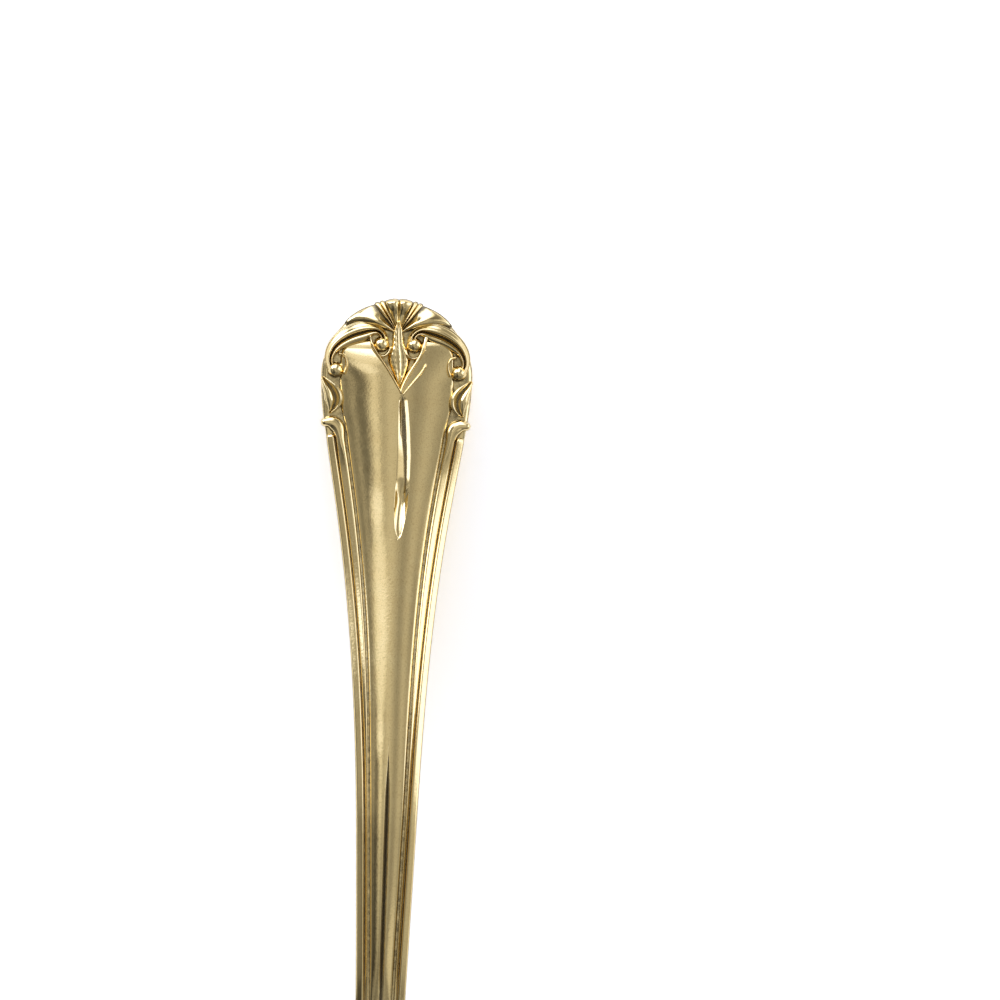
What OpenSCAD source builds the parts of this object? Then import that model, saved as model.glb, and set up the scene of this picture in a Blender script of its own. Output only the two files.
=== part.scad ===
// Teaspoon with a struck handle: scrolls, leaf crest, side leaves, threads and a sunk flute.
// X runs across the spoon, +Y points to the handle's end, +Z is up and the table is at Z = 0.
// Along the handle, d is the distance from the handle's end, so y = spoon_len / 2 - d.

/* [Overall] */
// Length from the bowl's tip to the handle's end
spoon_len = 150; // [140:1:162]

/* [Bowl] */
// Length of the bowl
bowl_len = 48; // [42:0.5:52]
// Width of the bowl across its rim
bowl_w = 31; // [26:0.5:36]
// Height of the rim above the table at mid length
rim_h = 8.2; // [6.8:0.1:9.4]
// How far the rim rises at the bowl's tip
tip_rise = 0.5; // [0:0.1:1.2]
// Width of the land along the rim
rim_t = 1; // [0.7:0.05:1.4]
// Height of the rim's outer edge
rim_edge = 0.6; // [0.3:0.05:0.8]
// Metal under the deepest point
base_t = 1.2; // [0.9:0.1:1.8]
// How far the round underside is flattened to stand on
rest_cut = 0.2; // [0.18:0.02:0.3]
// Length of the root that joins the bowl to the neck
root_len = 5; // [4:0.5:6]
// Length of the neck between the handle's plate and the bowl's root
neck_len = 5.3; // [4.5:0.1:7]

/* [Handle outline] */
// Width of the handle's end at its widest
end_w = 18.2; // [16:0.2:20]
// Distance from the handle's end to its widest place
end_at = 9; // [8.2:0.2:9.8]
// Width at the shoulders, where the threads start
shoulder_w = 16.6; // [15.6:0.2:17.6]
// Distance from the handle's end to the shoulders
shoulder_at = 16.4; // [15.4:0.2:17.4]
// Length over which the shoulders fall away to the stem
taper_len = 24; // [20:0.5:30]
// Width of the stem
stem_w = 5.9; // [5.2:0.1:7]
// Width at the neck, the narrowest place
neck_w = 5.2; // [4.4:0.1:6]

/* [Handle side view] */
// Thickness of the plate under the ornament
end_t = 1.5; // [1.1:0.1:2]
// Thickness of the plate along the stem
stem_t = 2.1; // [1.7:0.1:2.6]
// Thickness at the neck
neck_t = 2.6; // [2.2:0.1:3.2]
// Flat ground under the ornament, as a share of the distance from the handle's end to the shoulders
flat_share = 1.12; // [1.08:0.02:1.24]
// Slope of that flat ground, in degrees
end_angle = 7; // [4:0.5:10]
// Height of the underside at the top of the arch
arch_h = 12.3; // [10.5:0.1:14]
// Place of the top of the arch, as a share of the distance from the handle's end to the bowl's root
arch_share = 0.66; // [0.6:0.01:0.72]
// Height of the underside at the neck
neck_h = 8.4; // [7.8:0.1:9]
// Radius of the rounded edges on the back
back_round = 0.7; // [0.3:0.1:0.9]

/* [Panel and threads] */
// Width of the ground left bare between the panel and the inner thread
panel_gap = 0.16; // [0.1:0.02:0.25]
// Height of the panel's edge above the ground
panel_edge = 0.22; // [0.1:0.02:0.4]
// Height of the panel's crown above the ground
panel_rise = 0.95; // [0.6:0.05:1.3]
// Width of the outer thread
outer_w = 1; // [0.8:0.05:1.15]
// Height of the outer thread
outer_h = 0.5; // [0.3:0.05:0.7]
// Width of the inner thread at the shoulders
inner_w = 1.3; // [1.1:0.05:1.4]
// Width of the inner thread along the stem
inner_stem_w = 0.45; // [0.35:0.05:0.6]
// Height of the inner thread
inner_h = 0.55; // [0.35:0.05:0.7]

/* [Flute and groove] */
// Half width of the sunk flute
flute_half = 0.72; // [0.5:0.02:0.9]
// Depth of the flute
flute_depth = 0.5; // [0.3:0.02:0.6]
// How far below the tongue's point the flute starts
flute_gap = 0.3; // [0:0.1:1]
// Length of the flute
flute_len = 17.2; // [14:0.2:20]
// How far the flute and the tongue were struck off the centre line
strike_off = 0.8; // [0:0.05:0.85]
// Half width of the groove along the stem
groove_half = 0.3; // [0.2:0.02:0.45]
// Depth of the groove along the stem
groove_depth = 0.38; // [0.2:0.02:0.45]
// Start of that groove, as a share of the distance from the handle's end to the bowl's root
groove_share = 0.54; // [0.48:0.01:0.6]

/* [Ornament] */
// Height of the scroll's ridge above the ground
scroll_h = 1; // [0.7:0.05:1.3]
// Height of the ball in each curl
ball_h = 1.15; // [0.8:0.05:1.4]
// Height of the leaf crest
crest_h = 0.95; // [0.6:0.05:1.2]
// How far the crest's lobes stand out past the plate
crest_lip = 0.22; // [0.1:0.02:0.35]
// Height of the side leaves
leaf_h = 0.95; // [0.6:0.05:1.2]
// Height of the tongue between the curls
tongue_h = 1.2; // [1:0.05:1.4]
// Height of the hook at the head of each inner thread
hook_h = 0.8; // [0.5:0.05:1]

/* [Hidden] */

// Clearance between pieces that stand side by side on the ground
seat_gap = 0.03;
// Colour of the gilt metal
gilt = [0.85, 0.67, 0.33];

// Powers of the curves: end outline, shoulder fall, bowl across, bowl along, panel's top
tip_power = 1.85;
fall_power = 1.15;
across_power = 2.3;
along_power = 2.5;
field_power = 3.4;
// Share by which the bowl is broader towards the heel, and how blunt its ends are
egg_share = 0.1;
blunt_share = 0.993;
// How softly the bowl's outline and depth run into the neck
blend_w = 4.6;
blend_t = 0.9;
// Length over which the groove opens
groove_open = 8;
// Length over which threads and panel sink into the neck, and the share left at the end
fade_len = 12;
fade_share = 0.12;
// Radius inside the crest, where its lobes meet
crest_inner_r = 0.5;

// Steps of the curves
tip_steps = 8;
plate_steps = 27;
scoop_steps = 9;
root_steps = 5;
bowl_steps = 26;
bowl_side_steps = 9;
back_steps = 3;
neck_steps = 8;
sweep_steps = 3;
cap_steps = 3;
lobe_steps = 5;
prong_steps = 6;
flute_steps = 5;

// Derived places
end_half = end_w / 2;
shoulder_half = shoulder_w / 2;
stem_half = stem_w / 2;
neck_half = neck_w / 2;
bowl_half = bowl_len / 2;
bowl_tip_at = spoon_len - crest_lip;
heel_at = bowl_tip_at - bowl_len;
bowl_mid_at = heel_at + bowl_half;
root_at = heel_at - root_len;
plate_end = root_at - neck_len;
relief_end = plate_end - neck_len / 2;
flat_len = flat_share * shoulder_at;
arch_at = arch_share * root_at;
groove_at = groove_share * root_at;

function place(d) = spoon_len / 2 - crest_lip - d;
function mix(a, b, t) = a + (b - a) * t;
function clamp01(t) = min(1, max(0, t));
function ease(t) = let (c = clamp01(t)) c * c * (3 - 2 * c);
function between(d, from, to) = ease((d - from) / (to - from));
function soft_max(a, b, k) = (a + b + sqrt((a - b) * (a - b) + k * k)) / 2;
function flatten(list) = [for (part = list) each part];
function placed(shares) = [for (s = shares) [s[0] * end_half, s[1] * shoulder_at, s[2] * end_half]];

// Outline of the handle: half its width at a distance from the handle's end
function tip_half(d) = end_half * pow(1 - pow(clamp01(1 - d / end_at), tip_power), 1 / tip_power);
function waist_half(d) = mix(stem_half, neck_half, between(d, arch_at, root_at));
function taper_half(d) =
    let (fall = exp(-pow(max(0, d - shoulder_at) / taper_len, fall_power)))
    mix(waist_half(d), shoulder_half, fall);
function plate_half(d) =
    d < end_at ? tip_half(d) :
    d < shoulder_at ? mix(end_half, shoulder_half, pow((d - end_at) / (shoulder_at - end_at), 2)) :
    taper_half(d);

// Side view of the handle: the underside is straight under the ornament, then arches to the neck
function flat_rise(d) = d * tan(end_angle);
function arch_rise(d) =
    let (span = arch_at - flat_len, t = (d - flat_len) / span, low = flat_rise(flat_len))
    low + (arch_h - low) * t * t * (3 - 2 * t) + span * tan(end_angle) * t * (1 - t) * (1 - t);
function neck_fall(d) = arch_h - (arch_h - neck_h) * pow((d - arch_at) / (root_at - arch_at), 2);
function under(d) = d < flat_len ? flat_rise(d) : d < arch_at ? arch_rise(d) : neck_fall(d);
function plate_t(d) =
    mix(mix(end_t, stem_t, between(d, flat_len, arch_at)), neck_t, between(d, arch_at, plate_end));
function ground(d) = under(d) + plate_t(d);

// The ornament is placed by shares: across and half width of the end's half width, along of the
// distance from the handle's end to the shoulders
// The scroll's band from its inner curl to its outer one
SCROLL_SHARES = [[0.218, 0.332, 0.098], [0.187, 0.281, 0.062], [0.262, 0.23, 0.064],
    [0.43, 0.23, 0.128], [0.622, 0.265, 0.136], [0.765, 0.315, 0.114], [0.852, 0.368, 0.09],
    [0.895, 0.43, 0.068], [0.888, 0.488, 0.055], [0.825, 0.53, 0.092]];
// The side leaf from its stalk at the edge to its point
SIDE_LEAF_SHARES = [[0.972, 0.594, 0.033], [0.923, 0.637, 0.071], [0.866, 0.689, 0.102],
    [0.842, 0.741, 0.108], [0.85, 0.79, 0.077], [0.868, 0.829, 0.033]];
// The hook at the head of the inner thread, up to where the thread runs straight. It is placed
// across by the plate's own half width there.
HOOK_SHARES = [[0.985, 0.912, 0.042], [0.904, 0.912, 0.06], [0.832, 0.939, 0.067],
    [0.807, 0.97, 0.068]];
// The tongue between the curls, from its root to its point
TONGUE_SHARES = [[0, 0.289, 0.045], [0, 0.311, 0.085], [0, 0.344, 0.1], [0, 0.375, 0.115],
    [0, 0.394, 0.2], [0, 0.408, 0.285], [0, 0.43, 0.265], [0, 0.483, 0.215], [0, 0.549, 0.145],
    [0, 0.61, 0.08], [0, 0.658, 0.03], [0, 0.677, 0.008]];
// The panel's half width, its top, where it is at full width, and its prongs beside the curls
FIELD_SHARE = 0.714;
FIELD_TOP_SHARE = 0.311;
FIELD_FULL_SHARE = 0.5;
PRONG_SHARE = 0.33;
// The flute: share of its length, share of its half width. A narrow cut leads into a round scoop.
FLUTE_SHARES = [[0, 0], [0.08, 0.45], [0.2, 0.68], [0.33, 0.66], [0.48, 0.5], [0.6, 0.3], [0.68, 0.45],
    [0.76, 0.85], [0.84, 1], [0.92, 0.8], [1, 0]];
// The crest: its focus, its depth at the sides, and where its lobes meet from the centre outwards
FOCUS_SHARE = 0.25;
CREST_SIDE_SHARE = 0.11;
LOBE_SHARES = [0, 0.37, 0.455, 0.54, 1];

// Profiles across the ornament: share across from the right of the way of travel, share of height
SCROLL_PROFILE_SHARES = [[0, 0], [1, 0], [1, 0.25], [0.82, 0.66], [0.5, 0.84], [0.28, 0.6],
    [0.15, 0.35], [0, 0.82], [-0.3, 1], [-0.6, 0.94], [-0.85, 0.64], [-1, 0.3], [-1, 0]];
LEAF_PROFILE_SHARES = [[0, 0], [1, 0], [1, 0.4], [0.78, 0.95], [0.5, 0.85], [0.22, 0.4],
    [-0.1, 0.8], [-0.45, 1], [-0.8, 0.75], [-1, 0.4], [-1, 0]];
THREAD_PROFILE_SHARES = [[0, 0], [1, 0], [0.92, 0.55], [0.7, 0.92], [0.4, 1], [0, 0.88],
    [-0.45, 0.64], [-0.9, 0.25], [-1, 0]];
TONGUE_PROFILE_SHARES = [[0, 0], [1, 0], [1, 0.85], [0.84, 1], [0.55, 0.7], [0.2, 0.74], [0, 0.92],
    [-0.2, 0.74], [-0.55, 0.7], [-0.84, 1], [-1, 0.85], [-1, 0]];
// Height along one of the crest's lobes, from its root to its tip: share along, share of height
LOBE_PROFILE_SHARES = [[0, 0.35], [0.2, 0.65], [0.45, 0.9], [0.7, 1], [0.9, 0.85], [1, 0.45]];

// A solid through rings of points. Each ring starts with a point that sees all the others.
module loft(rings) {
    n = len(rings[0]);
    last = (len(rings) - 1) * n;
    sides = [for (i = [0:len(rings) - 2]) for (k = [0:n - 1])
        let (a = i * n + k, b = i * n + (k + 1) % n)
        each [[a, b + n, a + n], [a, b, b + n]]];
    first_cap = [for (k = [1:n - 2]) [0, k + 1, k]];
    last_cap = [for (k = [1:n - 2]) [last, last + k, last + k + 1]];
    polyhedron(flatten(rings), concat(first_cap, sides, last_cap));
}

// A ring on the ground, square to a unit direction of travel in plan
function ring_at(x, d, way, half, h, profile) =
    [for (p = profile) let (side = half * p[0])
        [x + way[1] * side, place(d) - way[0] * side, ground(d + way[0] * side) + h * p[1]]];

// Points on a smooth curve through marks of [x, d, half width]
function curve_point(a, b, c, e, t) =
    0.5 * (2 * b + (c - a) * t + (2 * a - 5 * b + 4 * c - e) * t * t
        + (3 * b - 3 * c + e - a) * t * t * t);
function mark(marks, i) = marks[min(len(marks) - 1, max(0, i))];
function route(marks) = concat(
    [for (i = [0:len(marks) - 2]) for (j = [0:sweep_steps - 1])
        curve_point(mark(marks, i - 1), mark(marks, i), mark(marks, i + 1), mark(marks, i + 2),
            j / sweep_steps)],
    [marks[len(marks) - 1]]);

// Direction of travel in plan at one point of a route, as a unit [x, y]
function heading(from, to) =
    let (dx = to[0] - from[0], dy = from[1] - to[1], l = norm([dx, dy])) [dx / l, dy / l];
function way_at(r, i) = heading(r[max(0, i - 1)], r[min(len(r) - 1, i + 1)]);

// A domed end: rings that close the sweep over its own half width, before or after a point
function cap_rings(p, way, h, profile, before) =
    [for (k = [1:cap_steps]) let (a = 80 * (before ? cap_steps + 1 - k : k) / cap_steps,
        run = p[2] * sin(a) * (before ? -1 : 1))
        ring_at(p[0] + way[0] * run, p[1] - way[1] * run, way, p[2] * cos(a), h * cos(a), profile)];

// The profile turned into a dome by a share
function domed(profile, t) =
    [for (p = profile) [p[0], mix(p[1], p[1] == 0 ? 0 : max(p[1] / 4, sqrt(1 - p[0] * p[0])), t)]];

// Bowl sections, from the root to the tip
BOWL_STATIONS = concat([for (i = [0:root_steps - 1]) mix(root_at, heel_at, i / root_steps)],
    [for (i = [0:bowl_steps]) bowl_mid_at - bowl_half * cos(180 * i / bowl_steps)]);
function along(d, inset) = (bowl_mid_at - d) / (bowl_half - inset);
function egg_half(t, inset) =
    let (c = min(1, abs(t)) * blunt_share) (bowl_w / 2 - inset) * sqrt(1 - c * c) * (1 + egg_share * t);
function heel_share(d) = clamp01(along(d, 0) * 2 - 0.8);
function flare(d) = blend_w * heel_share(d) * mix(0.2, 1, between(d, root_at, heel_at));
function outer_half(d) =
    let (t = along(d, 0), egg = t > 1 ? 0 : egg_half(t, 0))
    t < 0 ? egg : soft_max(egg, neck_half, flare(d));
function dish(t) = 1 - pow(min(1, abs(t)), along_power);
function rim_z(d) =
    let (t = along(d, 0))
    t > 1 ? under(d) + neck_t :
    t > 0 ? mix(rim_h, under(heel_at) + neck_t, t * t * t) : rim_h + tip_rise * t * t;
function outer_depth(d) =
    let (t = along(d, 0), root = neck_t - rim_edge,
        depth = (rim_h + rest_cut - rim_edge) * dish(min(1, abs(t)) * blunt_share))
    t < 0 ? depth : soft_max(depth, root * ease(heel_share(d)), blend_t * heel_share(d));
function fullness(d) = mix(2 * across_power, across_power, between(d, root_at, heel_at + root_len));

function bowl_ring(d) =
    let (w = outer_half(d), z = rim_z(d), depth = outer_depth(d), power = fullness(d), y = place(d),
        t = along(d, rim_t), inner = min(egg_half(t, rim_t), w * 0.9), n = bowl_side_steps,
        inner_depth = (rim_h - base_t) * dish(t),
        outer = [for (k = [0:n]) let (u = sin(90 * k / n))
            [w * u, y, max(0, z - rim_edge - depth * (1 - pow(u, power)))]])
    concat(
        [for (p = outer) [-p[0], p[1], p[2]]],
        [[-w, y, z]],
        [for (k = [-n:n]) let (u = sin(90 * k / n))
            [inner * u, y, z - inner_depth * (1 - pow(abs(u), across_power))]],
        [[w, y, z]],
        [for (k = [n:-1:1]) outer[k]]);

module bowl() {
    color(gilt) loft([for (d = BOWL_STATIONS) bowl_ring(d)]);
}

// Section of the plate or the neck: flat on top, rounded along the edges of the back
function plate_ring(d, half, low, high) =
    let (r = min(back_round, half * 0.8), y = place(d),
        back = [for (k = [0:back_steps]) let (a = 90 * k / back_steps)
            [half - r + r * sin(a), y, low + r - r * cos(a)]])
    concat([[0, y, low]], [for (p = back) [-p[0], p[1], p[2]]],
        [[-half, y, high], [half, y, high]], [for (k = [back_steps:-1:0]) back[k]]);

function neck_width(d) = mix(plate_half(d), outer_half(root_at), between(d, plate_end, root_at));

module neck() {
    color(gilt) loft([for (i = [0:neck_steps]) let (d = mix(plate_end, root_at, i / neck_steps))
        plate_ring(d, neck_width(d), under(d), under(d) + neck_t)]);
}

module handle_plate() {
    color(gilt) loft([for (d = PLATE_STATIONS)
        plate_ring(d, plate_half(max(d, ROUND_STATIONS[0])), under(d), ground(d))]);
}

// The relief sinks into the plate towards the neck
function fade(d) = mix(1, fade_share, between(d, relief_end - fade_len, relief_end));
function inner_thread_w(d) = mix(inner_w, inner_stem_w, between(d, shoulder_at + outer_w, arch_at));
function inner_thread_x(d) = plate_half(d) - outer_w - inner_thread_w(d) / 2;

// The tongue, widest at its shoulder, and the flute that starts below its point
TONGUE = placed(TONGUE_SHARES);
tongue_half = max([for (m = TONGUE) m[2]]);
tongue_shoulder_at = [for (m = TONGUE) if (m[2] == tongue_half) m[1]][0];
tongue_end = TONGUE[len(TONGUE) - 1][1];
flute_at = tongue_end + flute_gap;
flute_stop = flute_at + flute_len;
focus_at = FOCUS_SHARE * shoulder_at;
crest_side_at = CREST_SIDE_SHARE * shoulder_at;

// Stations along the handle, close together at the round end and beside the flute
ROUND_STATIONS = [for (i = [0:tip_steps]) end_at * (1 - cos(mix(4, 90, i / tip_steps)))];
STATION_GAP = (plate_end - flute_stop) / plate_steps;
LONG_STATIONS = concat([for (i = [0:scoop_steps - 1]) mix(flat_len, flute_stop, i / scoop_steps)],
    [for (i = [0:plate_steps]) flute_stop + i * STATION_GAP]);
PLATE_STATIONS = concat([0], ROUND_STATIONS, [mix(end_at, shoulder_at, 0.5), shoulder_at],
    LONG_STATIONS);
RELIEF_STATIONS = [for (d = LONG_STATIONS) if (d < relief_end + STATION_GAP / 2) d];

// The panel: a crowned field with the flute sunk in its upper part and the groove along the stem
field_half = FIELD_SHARE * end_half;
field_at = FIELD_TOP_SHARE * shoulder_at;
field_round = FIELD_FULL_SHARE * shoulder_at - field_at;
function panel_half(d) =
    let (t = clamp01((field_at + field_round - d) / field_round))
    min(field_half * pow(1 - pow(t, field_power), 1 / field_power),
        plate_half(max(d, end_at)) - outer_w - inner_thread_w(d) - panel_gap);
function struck(d) =
    strike_off * between(d, tongue_shoulder_at, flute_at + flute_gap)
        * (1 - between(d, flute_stop, groove_at));
function flute_w(d) = flute_half * lookup((d - flute_at) / flute_len, FLUTE_SHARES);
function groove_w(d) = groove_half * between(d, groove_at, groove_at + groove_open);
function sunk(d) =
    flute_depth * flute_w(d) / flute_half + groove_depth * groove_w(d) / groove_half;
function tongue_span(d, i = 0) =
    i < len(TONGUE) - 2 && d > TONGUE[i + 1][1] ? tongue_span(d, i + 1) :
    mix(TONGUE[i][2], TONGUE[i + 1][2], clamp01((d - TONGUE[i][1]) / (TONGUE[i + 1][1] - TONGUE[i][1])));

PANEL_STATIONS = concat(
    [for (i = [1:prong_steps]) mix(field_at, tongue_shoulder_at, i / prong_steps)],
    [for (m = TONGUE) if (m[1] > tongue_shoulder_at) m[1]],
    [for (i = [0:flute_steps]) mix(flute_at, shoulder_at, i / flute_steps)],
    RELIEF_STATIONS);

module panel() {
    color(gilt) {
        panel_side(1);
        mirror([1, 0, 0]) panel_side(-1);
    }
}

// One half of the panel, from the tongue and the flute's centre line out to the border
module panel_side(side) {
    loft([for (d = PANEL_STATIONS)
        let (half = panel_half(d), y = place(d), floor_z = ground(d),
            start = d < tongue_shoulder_at ? PRONG_SHARE * end_half :
                side * struck(d) + (d > tongue_end ? 0 : tongue_span(d) + seat_gap),
            cut = max(seat_gap, flute_w(d), groove_w(d)),
            rise = mix(panel_edge, panel_rise, pow(half / field_half, 0.8)) * fade(d),
            edge = panel_edge * fade(d),
            columns = concat([for (v = [0, 0.55, 1]) [start + cut * v, sunk(d) * (1 - v * v)]],
                [for (v = [1:4]) [mix(start + cut, half, v / 4), 0]]))
        concat([[mix(start, half, 0.5), y, floor_z], [start, y, floor_z]],
            [for (c = columns)
                [c[0], y, floor_z + mix(rise, edge, pow(c[0] / half, 2)) - c[1] * fade(d)]],
            [[half, y, floor_z]])]);
}

module tongue() {
    color(gilt) loft([for (m = TONGUE)
        ring_at(struck(m[1]), m[1], [0, -1], m[2], tongue_h * pow(m[2] / tongue_half, 0.15),
            TONGUE_PROFILE_SHARES)]);
}

// The crest: lobes and ribs that fan out from a focus to the handle's end
LOBES = len(LOBE_SHARES) - 1;
function lobe_at(q, i = 0) = i < LOBES - 1 && q >= LOBE_SHARES[i + 1] ? lobe_at(q, i + 1) : i;
function hump(q) =
    let (i = lobe_at(q), v = (q - LOBE_SHARES[i]) / (LOBE_SHARES[i + 1] - LOBE_SHARES[i]))
    pow(max(0, sin(180 * v)), 0.6);

module crest() {
    spreads = [for (i = [0:LOBES - 1]) for (k = [0:lobe_steps - 1])
        mix(LOBE_SHARES[i], LOBE_SHARES[i + 1], k / lobe_steps)];
    half_fan = concat(spreads, [1]);
    fan = concat([for (i = [len(half_fan) - 1:-1:1]) -half_fan[i]], half_fan);
    color(gilt) loft([for (q = fan) let (side = sign(q), s = abs(q))
        crest_ray(side, s, hump(s))]);
}

function crest_ray(side, s, swell) =
    let (end_d = crest_side_at * s * s, end_x = side * tip_half(end_d),
        a = atan2(end_x, focus_at - end_d), reach = norm([end_x, focus_at - end_d]),
        out = reach + crest_lip * swell, h = crest_h * mix(0.45, 1, swell))
    concat([ray_point(a, mix(crest_inner_r, out, 0.5), 0), ray_point(a, crest_inner_r, 0)],
        [for (p = LOBE_PROFILE_SHARES) ray_point(a, mix(crest_inner_r, out, p[0]), h * p[1])],
        [ray_point(a, out, 0)]);
function ray_point(a, r, h) =
    let (d = focus_at - r * cos(a)) [r * sin(a), place(d), ground(d) + h];

// The scroll on the right: a double-ridged band with a ball in the curl at each end
module scroll_right() {
    color(gilt) {
        r = route(placed(SCROLL_SHARES));
        last = len(r) - 1;
        ball = domed(SCROLL_PROFILE_SHARES, 1);
        loft(concat(
            cap_rings(r[0], way_at(r, 0), ball_h, ball, true),
            [for (i = [0:last]) let (t = clamp01(max(1 - i / (2 * sweep_steps),
                1 - (last - i) / (1.5 * sweep_steps))))
                ring_at(r[i][0], r[i][1], way_at(r, i), r[i][2], mix(scroll_h, ball_h, t),
                    domed(SCROLL_PROFILE_SHARES, t))],
            cap_rings(r[last], way_at(r, last), ball_h, ball, false)));
    }
}

module scroll_left() {
    mirror([1, 0, 0]) scroll_right();
}

module side_leaf_right() {
    color(gilt) {
        r = route(placed(SIDE_LEAF_SHARES));
        last = len(r) - 1;
        loft(concat(
            cap_rings(r[0], way_at(r, 0), leaf_h / 2, LEAF_PROFILE_SHARES, true),
            [for (i = [0:last]) ring_at(r[i][0], r[i][1], way_at(r, i), r[i][2],
                leaf_h * mix(0.5, 1, sin(180 * i / last)), LEAF_PROFILE_SHARES)],
            cap_rings(r[last], way_at(r, last), leaf_h / 2, LEAF_PROFILE_SHARES, false)));
    }
}

module side_leaf_left() {
    mirror([1, 0, 0]) side_leaf_right();
}

// The inner thread starts in a hook and runs down beside the panel
module inner_thread_right() {
    color(gilt) {
        r = route([for (s = HOOK_SHARES) let (d = s[1] * shoulder_at)
            [s[0] * plate_half(d), d, s[2] * end_half]]);
        loft(concat(
            cap_rings(r[0], way_at(r, 0), hook_h, THREAD_PROFILE_SHARES, true),
            [for (i = [0:len(r) - 1])
                ring_at(r[i][0], r[i][1], way_at(r, i), r[i][2], hook_h, THREAD_PROFILE_SHARES)],
            [for (d = concat([shoulder_at], RELIEF_STATIONS))
                ring_at(inner_thread_x(d), d, [0, -1], inner_thread_w(d) / 2 - seat_gap,
                    inner_h * fade(d), THREAD_PROFILE_SHARES)]));
    }
}

module inner_thread_left() {
    mirror([1, 0, 0]) inner_thread_right();
}

module outer_thread_right() {
    color(gilt) loft([for (d = concat([shoulder_at], RELIEF_STATIONS))
        ring_at(plate_half(d) - outer_w / 2, d, [0, -1], outer_w / 2,
            outer_h * fade(d) * (d == shoulder_at ? 0.6 : 1), THREAD_PROFILE_SHARES)]);
}

module outer_thread_left() {
    mirror([1, 0, 0]) outer_thread_right();
}

bowl();
neck();
handle_plate();
panel();
tongue();
crest();
scroll_left();
scroll_right();
side_leaf_left();
side_leaf_right();
inner_thread_left();
inner_thread_right();
outer_thread_left();
outer_thread_right();
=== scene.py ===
import math

import bmesh
import bpy
import numpy as np
from mathutils import Matrix, Vector


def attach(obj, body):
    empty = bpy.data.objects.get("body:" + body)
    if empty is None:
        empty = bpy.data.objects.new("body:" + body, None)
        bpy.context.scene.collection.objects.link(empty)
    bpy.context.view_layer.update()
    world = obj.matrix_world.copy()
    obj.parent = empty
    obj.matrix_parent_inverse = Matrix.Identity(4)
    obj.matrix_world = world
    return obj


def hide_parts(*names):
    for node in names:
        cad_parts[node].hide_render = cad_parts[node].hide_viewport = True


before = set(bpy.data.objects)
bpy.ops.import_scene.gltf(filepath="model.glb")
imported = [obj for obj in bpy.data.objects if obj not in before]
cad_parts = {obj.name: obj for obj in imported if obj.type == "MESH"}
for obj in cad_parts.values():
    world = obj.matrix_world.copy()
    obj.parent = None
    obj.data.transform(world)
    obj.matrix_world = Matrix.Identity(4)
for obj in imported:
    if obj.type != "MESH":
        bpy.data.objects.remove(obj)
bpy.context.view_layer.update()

# Lengths are in millimetres up to solid(), which turns them into metres. Floor and camera are in metres.
MM = 0.001

# Sizes shared with the CAD source: the whole spoon, its bowl and its neck
SPOON_LEN = 150.0
CREST_LIP = 0.22
BOWL_LEN = 48.0
BOWL_W = 31.0
RIM_H = 8.2
TIP_RISE = 0.5
RIM_T = 1.0
RIM_EDGE = 0.6
BASE_T = 1.2
REST_CUT = 0.2
ROOT_LEN = 5.0
NECK_LEN = 5.3
BLEND_W = 4.6
ALONG_POWER = 2.5
ACROSS_POWER = 2.3
EGG_SHARE = 0.1
ROOT_FLARE = 0.2
DEPTH_BLEND = 0.9
HOLLOW_SHARE = 0.9
HOLLOW_SOFT = 0.0025

# The outline, thickness and arch of the handle
END_HALF = 9.1
END_AT = 9.0
SHOULDER_HALF = 8.3
SHOULDER_AT = 16.4
TAPER_LEN = 24.0
STEM_HALF = 2.95
NECK_HALF = 2.6
TIP_POWER = 1.85
TAPER_POWER = 1.15
END_T = 1.5
STEM_T = 2.1
NECK_T = 2.6
FLAT_LEN = 1.12 * SHOULDER_AT
END_SLOPE = math.tan(math.radians(7.0))
ARCH_H = 12.3
NECK_H = 8.4
BACK_ROUND = 0.7

# The relief
OUTER_W = 1.0
OUTER_H = 0.5
INNER_W = 1.3
INNER_STEM_W = 0.45
INNER_H = 0.55
HOOK_H = 0.8
PANEL_GAP = 0.16
PANEL_EDGE = 0.25
PANEL_CROWN = 0.13
FLUTE_DEPTH = 0.5
GROOVE_HALF = 0.3
GROOVE_DEPTH = 0.38
GROOVE_OPEN = 8.0
SCROLL_H = 1.0
BALL_H = 1.15
CREST_H = 0.95
LEAF_H = 0.95

# Places along the spoon, by the distance from the handle's end
HALF_BOWL = BOWL_LEN / 2
TIP_AT = SPOON_LEN - CREST_LIP
HEEL_AT = TIP_AT - BOWL_LEN
MID_AT = HEEL_AT + HALF_BOWL
ROOT_AT = HEEL_AT - ROOT_LEN
PLATE_END = ROOT_AT - NECK_LEN
RELIEF_END = PLATE_END - NECK_LEN / 2
ARCH_AT = 0.66 * ROOT_AT
GROOVE_AT = 0.54 * ROOT_AT
FLUTE_STOP = 28.6
FIELD_HALF = 0.755 * END_HALF
FIELD_AT = 0.295 * SHOULDER_AT
FIELD_ROUND = 0.5 * SHOULDER_AT - FIELD_AT
FOCUS_AT = 0.25 * SHOULDER_AT

# Finer forms that only the visual model has: rounded front edges, a crowned neck, the panel's fallen top,
# the left wall of the flute, the ground inside the V and the veins of the leaf
FRONT_ROUND = 0.16
END_ROUND = 0.65
NECK_FALL = 0.45
NECK_FALL_POWER = 2.2
PANEL_ROUND = 0.3
TOP_FALL_AT = 10.0
TOP_FALL_LEN = 4.0
TOP_FALL = 0.5
TOP_EDGE_RISE = 0.4
LEFT_DEPTH = 0.24
VEE_FLOOR = 0.12
VEE_BORDER = 0.14
VEIN_H = 0.035

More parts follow.
